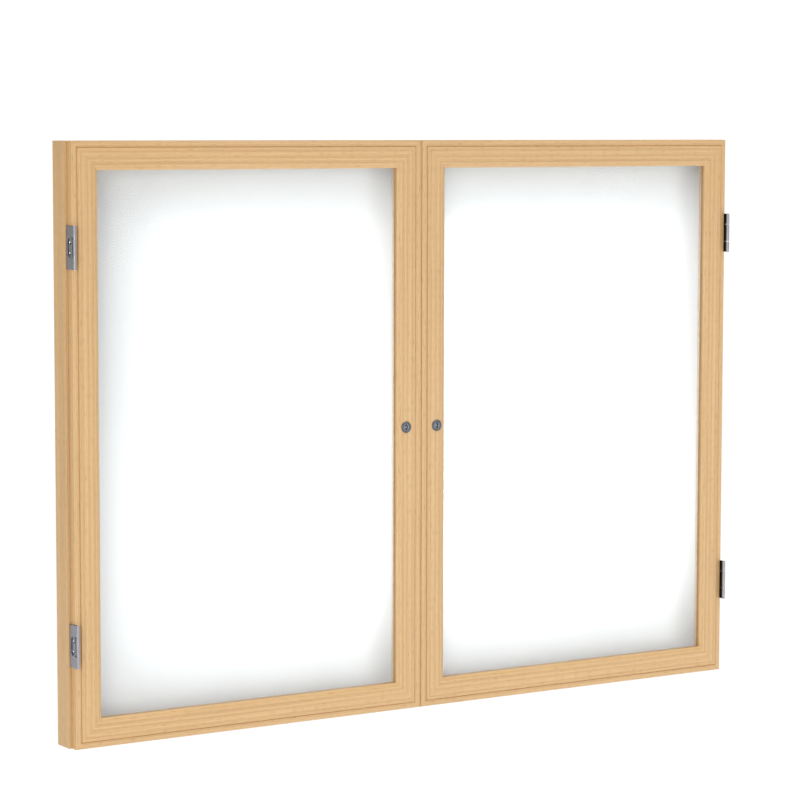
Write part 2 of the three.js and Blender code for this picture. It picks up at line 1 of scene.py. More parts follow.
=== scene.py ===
# %% [markdown]
# # A lockable notice board
# The real board hangs on a wall: a shallow oak-look box, a white writing sheet in its back, and two glazed
# doors that meet in the middle and lock. Its shapes, sizes and joints come ready made, as a fixed frame of
# named solids. This lesson dresses them: wood grain, brushed metal, enamel and a clear pane from nodes. The
# metal pieces and the doors' members are modelled again, with the fine edges that the plain solids leave
# out. Everything could be modelled anew, but a piece whose shape is right only needs a finish.

# %% Load the frame
import json
import math

import bmesh
import bpy
from mathutils import Matrix, Vector

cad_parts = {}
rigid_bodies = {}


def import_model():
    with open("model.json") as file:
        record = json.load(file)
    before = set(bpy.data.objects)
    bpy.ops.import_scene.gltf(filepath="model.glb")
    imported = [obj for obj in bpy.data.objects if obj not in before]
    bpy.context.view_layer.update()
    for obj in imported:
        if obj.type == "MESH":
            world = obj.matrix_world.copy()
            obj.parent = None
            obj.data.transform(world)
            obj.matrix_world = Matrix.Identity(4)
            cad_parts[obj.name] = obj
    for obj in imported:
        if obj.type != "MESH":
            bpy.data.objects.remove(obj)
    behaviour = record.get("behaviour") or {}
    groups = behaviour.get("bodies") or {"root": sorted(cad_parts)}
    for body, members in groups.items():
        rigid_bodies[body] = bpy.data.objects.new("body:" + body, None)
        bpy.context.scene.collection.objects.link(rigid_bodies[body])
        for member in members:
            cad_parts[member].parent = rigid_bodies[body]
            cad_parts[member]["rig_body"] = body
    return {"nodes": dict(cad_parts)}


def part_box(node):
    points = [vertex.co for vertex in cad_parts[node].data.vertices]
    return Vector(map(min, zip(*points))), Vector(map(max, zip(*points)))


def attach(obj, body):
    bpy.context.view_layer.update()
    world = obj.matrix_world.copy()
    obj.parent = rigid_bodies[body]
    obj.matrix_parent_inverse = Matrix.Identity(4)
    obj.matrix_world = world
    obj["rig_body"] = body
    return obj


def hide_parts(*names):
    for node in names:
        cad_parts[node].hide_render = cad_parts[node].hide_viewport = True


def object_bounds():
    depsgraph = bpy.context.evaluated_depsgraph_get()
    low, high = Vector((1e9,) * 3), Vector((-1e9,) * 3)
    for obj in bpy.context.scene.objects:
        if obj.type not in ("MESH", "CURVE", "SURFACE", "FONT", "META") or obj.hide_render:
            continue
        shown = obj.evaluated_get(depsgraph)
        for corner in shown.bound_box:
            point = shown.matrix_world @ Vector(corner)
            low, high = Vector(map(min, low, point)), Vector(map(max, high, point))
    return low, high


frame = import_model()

nodes = frame["nodes"]
scene = bpy.context.scene
cad_low, cad_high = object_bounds()
mm = 0.001
sides = (("left", -1), ("right", 1))


def added(name, data):
    """A new object of the scene."""
    made = bpy.data.objects.new(name, data)
    scene.collection.objects.link(made)
    return made


print("box in mm:", [round(x / mm, 1) for x in cad_high - cad_low])

# %% [markdown]
# ## The viewpoint
# The board is seen from its left and a little above its middle, from about 4.6 m away with a long lens, so
# its upright edges stay upright and the sides converge only gently. A camera could be aimed by eye, but a
# place and two angles worked out from the board's own corners put every edge where it belongs.

# %% Camera
camera_place = Vector((-2.48517, -3.86718, 0.46907))
turned_right = math.radians(32.6606)
tilted_down = math.radians(5.3674)
rolled = math.radians(0.0939)
camera_lens = 131.11
sensor_width = 36

camera_data = bpy.data.cameras.new("camera")
camera_data.lens = camera_lens
camera_data.sensor_width = sensor_width
camera = added("camera", camera_data)
aim = Matrix.Rotation(-turned_right, 4, "Z") @ Matrix.Rotation(math.pi / 2 - tilted_down, 4, "X")
camera.matrix_world = Matrix.Translation(camera_place) @ aim @ Matrix.Rotation(rolled, 4, "Z")
scene.camera = camera
print("camera to board:", round(camera_place.length, 2), "m")

# %% [markdown]
# ## Light and floor
# A product picture of a white board on white needs light from everywhere, with more from the front left so
# that the sides read as sides. A pale sky gives the even part. A broad lamp on the left reaches in behind
# the door frames, one overhead lights the floor, and a white card in front on the right is what the panes
# mirror towards the viewer. The sky could light everything alone, but then nothing would stand out.
# The camera sees the sky as pure white, whatever strength it lights with.

# %% Sky
sky_seen = 1.05
sky_light = 0.28

scene.view_settings.view_transform = "Standard"
world = bpy.data.worlds.new("sky")
world.use_nodes = True
sky = world.node_tree.nodes["Background"]
sky.inputs["Color"].default_value = (1, 1, 1, 1)
ray = world.node_tree.nodes.new("ShaderNodeLightPath")
choice = world.node_tree.nodes.new("ShaderNodeMapRange")
choice.inputs["To Min"].default_value = sky_light
choice.inputs["To Max"].default_value = sky_seen
world.node_tree.links.new(ray.outputs["Is Camera Ray"], choice.inputs["Value"])
world.node_tree.links.new(choice.outputs["Result"], sky.inputs["Strength"])
scene.world = world
print("the sky lights with", sky_light, "and looks like", sky_seen)

# %% Lamps
overhead_brightness = 0.69
overhead_spread = math.radians(50)
overhead_slant = math.radians(10)


def broad_lamp(name, place, towards, wide, high, brightness):
    """A flat lamp that faces a point. brightness is how it looks in a mirror, where white paper is 1."""
    data = bpy.data.lights.new(name, "AREA")
    data.shape = "RECTANGLE"
    data.size = wide
    data.size_y = high
    data.energy = brightness * math.pi * wide * high
    lamp = added(name, data)
    lamp.location = place
    lamp.rotation_euler = (Vector(towards) - Vector(place)).to_track_quat("-Z", "Y").to_euler()


broad_lamp("left_lamp", place=(-5, -4.4, 1), towards=(0, 0, 0), wide=3, high=3, brightness=5.1)
card_place = (2.7, -3.876, -0.44)
card_towards = (2.7, 0, -0.44)
broad_lamp("right_card", card_place, card_towards, wide=2.4, high=1.36, brightness=3.7)
overhead = bpy.data.lights.new("overhead", "SUN")
overhead.energy = overhead_brightness * math.pi
overhead.angle = overhead_spread
added("overhead", overhead).rotation_euler = (overhead_slant, 0, 0)
print("lamps:", len(bpy.data.lights))

# %% Floor
floor_drop = 0.9
floor_half = 12

floor_level = cad_low.z - floor_drop
floor_corners = ((-1, -1), (1, -1), (1, 1), (-1, 1))
floor_points = [(x * floor_half, y * floor_half, floor_level) for x, y in floor_corners]
floor_mesh = bpy.data.meshes.new("floor")
floor_mesh.from_pydata(floor_points, [], [(0, 1, 2, 3)])
floor = added("floor", floor_mesh)
print("floor at", round(floor_level, 3), "m")

# %% [markdown]
# ## Writing finishes as sums
# A finish is a network of nodes. Linked by hand in code, a single sum takes six lines, so one small class
# stands for an output socket and lets ordinary Python signs add the Math nodes. A second class is the
# material, with one method that adds any other node: its type, its settings, then its sockets. A colour
# that is the same all over needs no node and is set on the socket itself.

# %% A class for one output
def signed(operation, swapped=False):
    """A method that adds the Math node of one sign, with its two sides swapped if need be."""
    def method(self, other=0.0):
        first, second = (other, self) if swapped else (self, other)
        return self.finish.node("ShaderNodeMath", {"operation": operation}, {0: first, 1: second})

    return method


class Wire:
    """One output of a node. A sum written with it adds the Math node that works it out."""

    def __init__(self, finish, socket):
        self.finish = finish
        self.socket = socket

    __add__ = __radd__ = signed("ADD")
    __sub__ = signed("SUBTRACT")
    __rsub__ = __neg__ = signed("SUBTRACT", swapped=True)
    __mul__ = __rmul__ = signed("MULTIPLY")
    __truediv__ = signed("DIVIDE")
    __pow__ = signed("POWER")
    __abs__ = signed("ABSOLUTE")
    sign = signed("SIGN")


print("outputs can be added and multiplied")

# %% A class for a material
class Finish:
    """A material that is built one node at a time."""

    def __init__(self, name):
        self.material = bpy.data.materials.new(name)
        self.material.use_nodes = True
        self.tree = self.material.node_tree
        self.tree.nodes.clear()

    def socket(self, sockets, name):
        """A socket by its number, its own identifier, or its label."""
        if isinstance(name, int):
            return sockets[name]
        matching = [s for s in sockets if s.identifier == name]
        return matching[0] if matching else sockets[name]

    def node(self, kind, settings, sockets, output=0):
        made = self.tree.nodes.new(kind)
        for name, value in settings.items():
            if name == "stops":
                self.set_stops(made.color_ramp, value)
            else:
                setattr(made, name, value)
        for name, value in sockets.items():
            target = self.socket(made.inputs, name)
            if isinstance(value, Wire):
                self.tree.links.new(value.socket, target)
            else:
                target.default_value = value
        if made.outputs:
            return Wire(self, self.socket(made.outputs, output))

    def set_stops(self, ramp, stops):
        while len(ramp.elements) < len(stops):
            ramp.elements.new(0.5)
        for element, (place, colour) in zip(ramp.elements, stops):
            element.position = place
            element.color = colour

    def place(self):
        """The point's place on the resting board, in metres, as three wires."""
        seen = self.node("ShaderNodeTexCoord", {}, {}, "Object")
        parts = self.tree.nodes.new("ShaderNodeSeparateXYZ")
        self.tree.links.new(seen.socket, parts.inputs[0])
        return [Wire(self, s) for s in parts.outputs]

    def noise(self, x, y, z, detail=2.0, roughness=0.5):
        """Noise between 0 and 1, read at a place that three wires or numbers give."""
        place = self.node("ShaderNodeCombineXYZ", {}, {"X": x, "Y": y, "Z": z})
        sockets = {"Vector": place, "Scale": 1.0, "Detail": detail, "Roughness": roughness}
        return self.node("ShaderNodeTexNoise", {}, sockets)

    def between(self, value, low, high):
        """0 below low, 1 above high, and a soft step from one to the other."""
        settings = {"interpolation_type": "SMOOTHSTEP"}
        sockets = {"Value": value, "From Min": low, "From Max": high, "To Min": 0.0, "To Max": 1.0}
        return self.node("ShaderNodeMapRange", settings, sockets)

    def mix(self, share, first, second):
        """A colour that goes from first to second as share goes from 0 to 1."""
        sockets = {"Factor_Float": share, "A_Color": first, "B_Color": second}
        return self.node("ShaderNodeMix", {"data_type": "RGBA"}, sockets, "Result_Color")

    def bump(self, height, distance):
        return self.node("ShaderNodeBump", {}, {"Height": height, "Distance": distance})

    def surface(self, **sockets):
        """Ends the network in a Principled surface. Words in a socket's name are joined by underscores."""
        named = {name.replace("_", " "): value for name, value in sockets.items()}
        shader = self.node("ShaderNodeBsdfPrincipled", {}, named)
        self.node("ShaderNodeOutputMaterial", {}, {"Surface": shader})
        return self.material


print("a material can be built from nodes")

# %% [markdown]
# ## Oak
# The members are straight-grained light oak under a satin lacquer, cut so that the growth lines run along
# each one, about five millimetres apart. Where two members meet in a mitre the lines meet too. A picture of
# wood could be wrapped round them, but a network has no edges or repeats. Noise is stretched along the
# member: the other two directions are the distance in from its outer edge and its depth, so that the front
# and the sides show the same tree. Measuring along it from the mitre makes the lines meet there.

# %% Oak finish
oak_light = (0.70, 0.461, 0.225, 1)
oak_middle = (0.625, 0.394, 0.18, 1)
oak_dark = (0.544, 0.323, 0.137, 1)
oak_pore = (0.44, 0.262, 0.115, 1)
line_frequency = 330
line_stretch = 1.1
fine_frequency = 900
fine_stretch = 9
pore_frequency = 1500
pore_stretch = 75
pore_from = 0.6
pore_full = 0.72
middle_at = 0.45
wander_scale = (9, 30, 12)
wander_reach = 0.0016
cloud_scale = (2.2, 20, 6)
line_contrast = 1.7
cloud_contrast = 0.35
pore_share = 0.5
grain_relief = 0.00006


def oak(name, across, outer, centre, half_run, seed):
    """Oak with its grain along X or Z. across is the other of the two, outer the outer edge's place on it."""
    finish = Finish(name)
    x, y, z = finish.place()
    over, along = (x, z) if across == "x" else (z, x)
    inward = -1 if outer > centre[0] else 1
    inset = (over - outer) * inward
    run = half_run - abs(along - centre[1])
    length, depth, breadth = wander_scale
    wander = finish.noise(run * length, y * depth, inset * breadth + seed, 1.0)
    bent = inset + (wander - 0.5) * wander_reach

    def grain(frequency, length, detail, roughness=0.5):
        return finish.noise(bent * frequency, y * frequency, length, detail, roughness)

    lines = grain(line_frequency, run * line_stretch, 1.0, 0.4)
    fine = grain(fine_frequency, along * fine_stretch + seed, 2.0)
    pores = grain(pore_frequency, along * pore_stretch + seed, 0.0)
    length, depth, breadth = cloud_scale
    cloud = finish.noise(over * breadth, y * depth, along * length + seed, 1.0)
    tone = (lines - 0.5) * line_contrast + (fine - 0.5) + (cloud - 0.5) * cloud_contrast + 0.5
    stops = [(0.0, oak_dark), (middle_at, oak_middle), (1.0, oak_light)]
    wood = finish.node("ShaderNodeValToRGB", {"stops": stops}, {"Fac": tone})
    open_pore = finish.between(pores, pore_from, pore_full)
    return finish.surface(
        Base_Color=finish.mix(open_pore * pore_share, wood, oak_pore),
        Roughness=0.46 + open_pore * 0.2 + fine * 0.08,
        Normal=finish.bump(lines * 0.3 + fine * 0.3 - open_pore * 0.6, grain_relief),
        Coat_Weight=0.12,
        Coat_Roughness=0.3,
    )


half_width = cad_high.x
half_height = cad_high.z
door_outer = abs(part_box("left_door_hinge_stile")[0].x)
door_meeting = abs(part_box("left_door_lock_stile")[1].x)
door_centre = (door_outer + door_meeting) / 2
door_half = (door_outer - door_meeting) / 2
print("door from", round(door_meeting, 4), "to", round(door_outer, 4), "m")

# %% Oak on every member
seed_step = 3.7
members = [
    ("cabinet_left_side", "x", -half_width, (0, 0), half_height),
    ("cabinet_right_side", "x", half_width, (0, 0), half_height),
    ("cabinet_top_rail", "z", half_height, (0, 0), half_width),
    ("cabinet_bottom_rail", "z", -half_height, (0, 0), half_width),
]
for side, out in sides:
    middle = out * door_centre
    members.append((f"{side}_door_hinge_stile", "x", out * door_outer, (middle, 0), half_height))
    members.append((f"{side}_door_lock_stile", "x", out * door_meeting, (middle, 0), half_height))
    members.append((f"{side}_door_top_rail", "z", half_height, (0, middle), door_half))
    members.append((f"{side}_door_bottom_rail", "z", -half_height, (0, middle), door_half))
members.append(("centre_post", "x", -half_width, (0, 0), half_height))


def dress(name, material):
    """Puts a finish on one of the frame's own solids."""
    solid = nodes[name]
    for slot in solid.material_slots:
        slot.material = material


for number, (name, *rest) in enumerate(members):
    dress(name, oak("oak_" + name, *rest, seed_step * number))
print("oak on", len(members), "members")

# %% [markdown]
# ## Soft edges
# A sanded wooden edge is a small round that catches a line of light. The cabinet's solids come with plain
# chamfers and split faces. Three modifiers round them without touching the mesh: Weld joins the split
# corners, a planar Decimate clears the triangles of flat faces, and Bevel rounds what is left. The cabinet
# could be modelled again with rounds, but its members are plain boards, and nothing else would change.

# %% Round the cabinet's members
wood_edge = 0.05 * mm
flat_within = math.radians(0.5)


def round_edges(piece, radius, least_bend):
    """Clears the triangles of flat faces, then rounds each edge that bends more than least_bend degrees."""
    flat = piece.modifiers.new("flat", "DECIMATE")
    flat.decimate_type = "DISSOLVE"
    flat.angle_limit = flat_within
    bevel = piece.modifiers.new("bevel", "BEVEL")
    bevel.width = radius
    bevel.segments = 2
    bevel.limit_method = "ANGLE"
    bevel.angle_limit = math.radians(least_bend)
    return bevel


def soften(solid, radius):
    weld = solid.modifiers.new("weld", "WELD")
    weld.merge_threshold = 0.002 * mm
    round_edges(solid, radius, 25).harden_normals = True


cabinet_members = [name for name, *rest in members if "door" not in name]
for name in cabinet_members:
    soften(nodes[name], wood_edge)
print("soft edges on", len(cabinet_members), "members")

# %% [markdown]
# ## Sheet, board, panes and beads
# The writing sheet is white enamel, smooth and faintly cool. The board behind it is pressed fibre. The bead
# that holds each clear pane is the same oak as its door. Real glass would bend the light too, but a thin
# flat pane hardly shows that, and seeing straight through it is quicker and cleaner.

# %% Enamel, fibreboard, pane and bead finishes
enamel_white = (0.82, 0.836, 0.834, 1)
enamel_worn = (0.805, 0.822, 0.82, 1)
fibre_light = (0.36, 0.235, 0.125, 1)
fibre_dark = (0.24, 0.15, 0.078, 1)
pane_tint = (0.93, 0.98, 1.0, 1)
pane_mirror = 0.1
bead_seed = 60


def enamel():
    finish = Finish("white_enamel")
    x, y, z = finish.place()
    ripple = finish.noise(x * 60, y, z * 60)
    smear = finish.noise(x * 5, y, z * 9, 3.0)
    return finish.surface(
        Base_Color=finish.mix(smear, enamel_white, enamel_worn),
        Roughness=0.24 + smear * 0.08,
        Normal=finish.bump(ripple, 0.00002),
        Specular_IOR_Level=0.3,
    )


def fibreboard():
    finish = Finish("fibreboard")
    place = finish.place()
    speck = finish.noise(*[p * 900 for p in place], 3.0, 0.6)
    blotch = finish.noise(*[p * 14 for p in place], 3.0)
    share = finish.between(speck * 0.6 + blotch * 0.5, 0.35, 0.8)
    return finish.surface(
        Base_Color=finish.mix(share, fibre_dark, fibre_light),
        Roughness=0.85,
        Normal=finish.bump(speck, 0.0002),
    )


def pane():
    """Each face mirrors a small share of what it faces, more at a slant, and lets the rest through."""
    finish = Finish("clear_pane")
    x, y, z = finish.place()
    haze = finish.noise(x * 7, y, z * 5)
    slant = finish.node("ShaderNodeLayerWeight", {}, {"Blend": 0.5}, "Facing")
    return finish.surface(
        Base_Color=pane_tint,
        Metallic=1.0,
        Roughness=0.12 + haze * 0.04,
        Alpha=pane_mirror + slant**5 * (1 - pane_mirror),
    )


dress("writing_sheet", enamel())
dress("backing_board", fibreboard())
clear = pane()
for side, out in sides:
    dress(f"{side}_pane", clear)
    bead_centre = (out * door_centre, 0)
    bead = oak(f"oak_{side}_bead", "x", out * door_outer, bead_centre, half_height, bead_seed + out)
    dress(f"{side}_glazing_bead", bead)
print("sheet, board, panes and beads finished")

# %% [markdown]
# ## Metals
# Every metal is one network with another colour: bright zinc on screws and pins, a grey plate on the locks
# and dull zinc on what is hidden. Fine marks, drawn out along the brushing, change its tone and roughness.
# Plain colours would be simpler, but a close look would show them as plastic.
# The nickel of the hinges comes later, because where its painted shade lies goes by the hinge's own sizes.

# %% Metal finishes
bright = (0.8, 0.82, 0.85, 1)
# Painted shade: nearly black, for metal where it lies in shade between parts.
painted_shade_black = (0.012, 0.012, 0.013, 1)
mark_frequency = 5000
brushed_frequency = 120
stain_frequency = 160
between_marks = 0.78
metal_relief = 0.00001
plate_edge = 0.25


def metal(name, colour, roughness, brushed=None, painted_shade=None):
    """brushed is the direction of its brush marks, 0, 1 or 2 for X, Y or Z, or None where it is tumbled.
    The last argument, if given, works out where shade is painted on it, nearly black."""
    finish = Finish(name)
    place = finish.place()
    scales = [mark_frequency] * 3
    if brushed is not None:
        scales[brushed] = brushed_frequency
    marks = finish.noise(*[p * s for p, s in zip(place, scales)], 2.0, 0.6)
    stain = finish.noise(*[p * stain_frequency for p in place])
    dark = tuple(c * between_marks for c in colour[:3]) + (1,)
    tone = finish.between(marks * 0.7 + stain * 0.3, 0.3, 0.7)
    plating = finish.mix(tone, dark, colour)
    if painted_shade:
        # Where the mask says, shade is painted on, nearly black.
        plating = finish.mix(painted_shade(finish, *place), plating, painted_shade_black)
    return finish.surface(
        Base_Color=plating,
        Metallic=1.0,
        Roughness=roughness + (marks - 0.5) * 0.15,
        Normal=finish.bump(marks, metal_relief),
    )


bright_zinc = metal("bright_zinc", bright, 0.22)
grey_plate = metal("grey_plate", (0.12, 0.13, 0.145, 1), 0.4)
dull_zinc = metal("dull_zinc", (0.5, 0.51, 0.53, 1), 0.42)
for name in nodes:
    if name.startswith(("strike_plate", "hanger_plate")):
        dress(name, dull_zinc)
        soften(nodes[name], plate_edge * mm)
print("metals finished")

# %% [markdown]
# ## Turned and sheet-metal pieces
# Locks, pins and screws are turned, and hinges are bent from sheet. The plain solids have their places and
# sizes, but few facets and sharp edges. Each is modelled again here from a section with small rounds, so that
# its edges catch light. A subdivided cage would soften them too, but a section of radii and depths keeps the
# grooves, rims and domes exact. Everything is drawn in millimetres.

# %% Rounded outlines
def rounded(corners, steps=3):
    """An outline with arcs. A corner is its two coordinates and, where it is round, its radius."""
    places = [Vector(corner[:2]) for corner in corners]
    outline = []
    for i, (here, corner) in enumerate(zip(places, corners)):
        if len(corner) == 2:
            outline.append(here)
            continue
        radius = corner[2]
        before = (places[i - 1] - here).normalized()
        after = (places[(i + 1) % len(places)] - here).normalized()
        half = before.angle(after) / 2
        centre = here + (before + after).normalized() * radius / math.sin(half)
        start = here + before * radius / math.tan(half) - centre
        end = here + after * radius / math.tan(half) - centre
        turn = math.atan2(start.x * end.y - start.y * end.x, start.dot(end))
        for step in range(steps + 1):
            outline.append(centre + Matrix.Rotation(turn * step / steps, 2) @ start)
    return outline


def arc(radius, first, last, steps):
    """Points on a circle from one angle to another."""
    angles = [first + (last - first) * step / steps for step in range(steps + 1)]
    return [(radius * math.cos(a), radius * math.sin(a)) for a in angles]


def circle(radius, sides):
    return arc(radius, 0, 2 * math.pi, sides)[:-1]


print("a round corner in", len(rounded([(0, 0), (9, 0, 1), (9, 9)])) - 2, "points")

# %% Turned and extruded shapes
def bmesh_of(mesh):
    shape = bmesh.new()
    shape.from_mesh(mesh)
    return shape


def turned(section, sides):
    """A shape swept round Y from a section of radii and depths, closed or with both ends on the axis."""
    shape = bmesh.new()
    rings = []
    for radius, depth in section:
        if radius == 0:
            rings.append([shape.verts.new((0, depth, 0))] * sides)
        else:
            rings.append([shape.verts.new((x, depth, z)) for x, z in circle(radius, sides)])
    for ring, following in zip(rings, rings[1:]):
        for i in range(sides):
            corners = [ring[i], ring[i - 1], following[i - 1], following[i]]
            kept = [c for n, c in enumerate(corners) if c is not corners[n - 1]]
            if len(kept) > 2:
                shape.faces.new(kept)
    bmesh.ops.remove_doubles(shape, verts=shape.verts, dist=0.0001)
    bmesh.ops.recalc_face_normals(shape, faces=shape.faces)
    return shape


def extruded(outline, holes, thickness):
    """A plate in XY, half its thickness on each side of Z = 0."""
    curve = bpy.data.curves.new("plate", "CURVE")
    curve.dimensions = "2D"
    curve.fill_mode = "BOTH"
    curve.extrude = thickness / 2
    for loop in [outline, *holes]:
        spline = curve.splines.new("POLY")
        spline.points.add(len(loop) - 1)
        for point, place in zip(spline.points, loop):
            point.co = (place[0], place[1], 0, 1)
        spline.use_cyclic_u = True
    drawn = bpy.data.objects.new("plate", curve)
    shape = bmesh_of(drawn.to_mesh())
    drawn.to_mesh_clear()
    bpy.data.objects.remove(drawn)
    bmesh.ops.remove_doubles(shape, verts=shape.verts, dist=0.0005)
    bmesh.ops.recalc_face_normals(shape, faces=shape.faces)
    return shape


def rod(radius, start, end, sides):
    """A plain cylinder along Y."""
    return turned([(0, start), (radius, start), (radius, end), (0, end)], sides)


def block(low, high):
    shape = bmesh.new()
    bmesh.ops.create_cube(shape, size=1)
    for vert in shape.verts:
        vert.co = [a + (b - a) * (c + 0.5) for a, b, c in zip(low, high, vert.co)]
    return shape


def moved(shape, matrix):
    bmesh.ops.transform(shape, matrix=matrix, verts=shape.verts)
    return shape


def at(x, y, z):
    return Matrix.Translation((x, y, z))


print("outlines can be turned and extruded")

# %% [markdown]
# ## Carving
# Slots, countersinks and recesses are cut with Boolean modifiers, as they would be milled or stamped. What is
# left gets a small round on every edge by a Bevel modifier where an edge size is given, and its faces are
# shaded smooth up to an angle.
# The holes could be part of a mesh drawn by hand, but then each one would mean a new set of faces.

# %% Carve a piece
hole_play = 0.1
overrun = 2
join_within = 0.001
smooth_within = math.radians(35)


def scratch_object(shape):
    mesh = bpy.data.meshes.new("scratch")
    shape.to_mesh(mesh)
    shape.free()
    return added("scratch", mesh)


def carved(base, cutters=(), joined=(), edge=0.0):
    """The mesh of a shape with others joined to it and cutters taken away, its edges rounded by edge."""
    body = scratch_object(base)
    tools = []
    for operation, shapes in (("UNION", joined), ("DIFFERENCE", cutters)):
        for shape in shapes:
            tool = scratch_object(shape)
            tools.append(tool)
            work = body.modifiers.new("work", "BOOLEAN")
            work.operation = operation
            work.solver = "EXACT"
            work.object = tool
    if edge:
        round_edges(body, edge, 30)
    made = body.evaluated_get(bpy.context.evaluated_depsgraph_get())
    mesh = bpy.data.meshes.new_from_object(made)
    for scratch in [body, *tools]:
        bpy.data.objects.remove(scratch)
    whole = bmesh_of(mesh)
    bmesh.ops.remove_doubles(whole, verts=whole.verts, dist=join_within)
    whole.to_mesh(mesh)
    whole.free()
    mesh.polygons.foreach_set("use_smooth", [True] * len(mesh.polygons))
    mesh.set_sharp_from_angle(angle=smooth_within)
    return mesh


print("cutters reach", overrun, "mm out of what they cut")

# %% [markdown]
# ## Putting a new piece in place
# Each new piece stands for one solid of the frame: it rides on the same body and hides the plain solid behind
# it.
# A piece drawn once is placed as often as needed, mirrored for the other side. Linked copies with a scale of
# -1 would do that too, but would leave their faces inside out.


def placed(name, mesh, placing, material, body):
    """A copy of a mesh drawn in millimetres, on one of the frame's bodies."""
    own = mesh.copy()
    own.name = name
    own.transform(Matrix.Scale(mm, 4) @ placing)
    if placing.determinant() < 0:
        own.flip_normals()
    own.materials.clear()
    own.materials.append(material)
    made = added(name, own)
    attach(made, body)
    return made


def stand_in(solid, mesh, placing, material):
    """Puts a mesh where a solid is, and hides the solid."""
    body = nodes[solid]["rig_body"]
    made = placed("fine_" + solid, mesh, placing, material, body)
    even = made.modifiers.new("even", "WEIGHTED_NORMAL")
    even.keep_sharp = True
    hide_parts(solid)


def box_of(solid):
    """The lowest and highest corner of a solid, in millimetres."""
    low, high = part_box(solid)
    return low / mm, high / mm


# %% [markdown]
# ## Sizes of the hinges
# Places and outer sizes are read from the frame's solids. What only the finer shapes have, such as the gap
# between knuckles and the thickness of the sheet, is set here. All of it is in millimetres from the pin.

# %% Sizes of the hinges
pin_low, pin_high = box_of("right_upper_hinge_pin")
leaf_low, leaf_high = box_of("right_upper_hinge_cabinet_leaf")
screw_low, screw_high = box_of("right_upper_leaf_screw_high")
foot_screw_low, foot_screw_high = box_of("right_upper_foot_screw_high")

axis_x = (pin_low.x + pin_high.x) / 2
axis_y = (pin_low.y + pin_high.y) / 2
hinge_up = (pin_low.z + pin_high.z) / 2
pin_radius = (pin_high.x - pin_low.x) / 2
pin_half = (pin_high.z - pin_low.z) / 2
pin_play = 0.08
hinge_half = (leaf_high.z - leaf_low.z) / 2
knuckle_radius = leaf_high.x - axis_x
seam_start = 13.75
seam_end = 14.75
slit_reach = 8
past_knuckle = knuckle_radius + 1
leaf_thickness = 1.8
leaf_outside = 2.5
leaf_inside = leaf_outside - leaf_thickness
leaf_back = leaf_high.y - axis_y
foot_front = leaf_back - leaf_thickness
foot_end = leaf_low.x - axis_x
bend_inside = 0.6
slot_radius = 6.3
door_leaf_outside = door_outer / mm - axis_x
door_leaf_inside = door_leaf_outside - leaf_thickness
door_leaf_back = box_of("right_upper_hinge_door_leaf")[1].y - axis_y
screw_up = (screw_low.z + screw_high.z) / 2 - hinge_up
screw_back = (screw_low.y + screw_high.y) / 2 - axis_y
foot_screw_up = (foot_screw_low.z + foot_screw_high.z) / 2 - hinge_up
foot_screw_across = (foot_screw_low.x + foot_screw_high.x) / 2 - axis_x
print("hinge pins", round(axis_x, 2), "mm from the middle")

# %% [markdown]
# ## Screws
# Each hinge has two screws with shallow domed heads through the leaf on the door, and two flat ones through
# the foot on the cabinet. They have a cross recess and a ringed thread. The thread could be a true helix, but
# in the wood only the head is seen.

# %% Screws
leaf_screw = {"head": 3.3, "height": 1.0, "rim": 0.3, "cone": 1.5, "shank": 1.45, "length": 14}
foot_screw = {"head": 3.0, "height": 0.0, "rim": 0.3, "cone": 1.5, "shank": 1.4, "length": 16}
point_length = 3
thread_pitch = 1.1
thread_depth = 0.35
recess_reach = 0.6
recess_half = 0.14
recess_bottom = 1.3
recess_narrowing = (0.4, 0.6)
screw_sides = 36
dome_steps = 8


def dome(radius, height, steps):
    """Radii and heights of a quarter of an ellipse, from its top on the axis to its rim."""
    angles = [math.pi / 2 * step / steps for step in range(1, steps + 1)]
    return [(0, height), *[(radius * math.sin(a), height * math.cos(a)) for a in angles]]


def ringed(crest, root, start, end, pitch):
    """Radii and depths of a row of thread rings."""
    points = []
    for ring in range(int((end - start) / pitch)):
        depth = start + ring * pitch
        points += [(crest, depth), (root, depth + pitch / 2)]
    return points + [(crest, end)]


def recess_arm(reach, half, top, bottom):
    """One arm of a cross recess, which narrows to its bottom."""
    arm = block((-reach, top, -half), (reach, bottom, half))
    for vert in arm.verts:
        if vert.co.y > (top + bottom) / 2:
            vert.co.x *= recess_narrowing[0]
            vert.co.z *= recess_narrowing[1]
    return arm


def screw_mesh(head, height, rim, cone, shank, length):
    """A screw along Y, the rim of its head at 0. height is how far its head is domed."""
    top = [(0, 0), (head, 0)]
    if height:
        top = [(radius, -up) for radius, up in dome(head, height, dome_steps)]
    root = shank - thread_depth
    thread = ringed(shank, root, cone + thread_pitch, length - point_length, thread_pitch)
    section = [*top, (head, rim), (shank, cone), *thread, (0, length)]
    reach = head * recess_reach
    half = head * recess_half
    arm = recess_arm(reach, half, -height - 0.2, recess_bottom - height)
    across = moved(arm.copy(), Matrix.Rotation(math.pi / 2, 4, "Y"))
    return carved(turned(section, screw_sides), [arm, across])


leaf_screw_mesh = screw_mesh(**leaf_screw)
foot_screw_mesh = screw_mesh(**foot_screw)
print("screws:", len(leaf_screw_mesh.polygons), "and", len(foot_screw_mesh.polygons), "faces")

# %% [markdown]
# ## Hinges
# Each hinge is two leaves of bent sheet on one pin, with three knuckles. The leaf on the cabinet turns in
# over the cabinet's front edge, where its screws hold it. A long slot in it lets a driver reach the screws of
# the other leaf, which is let into the door. All of it is drawn about the pin: X outward, Y back, Z up.

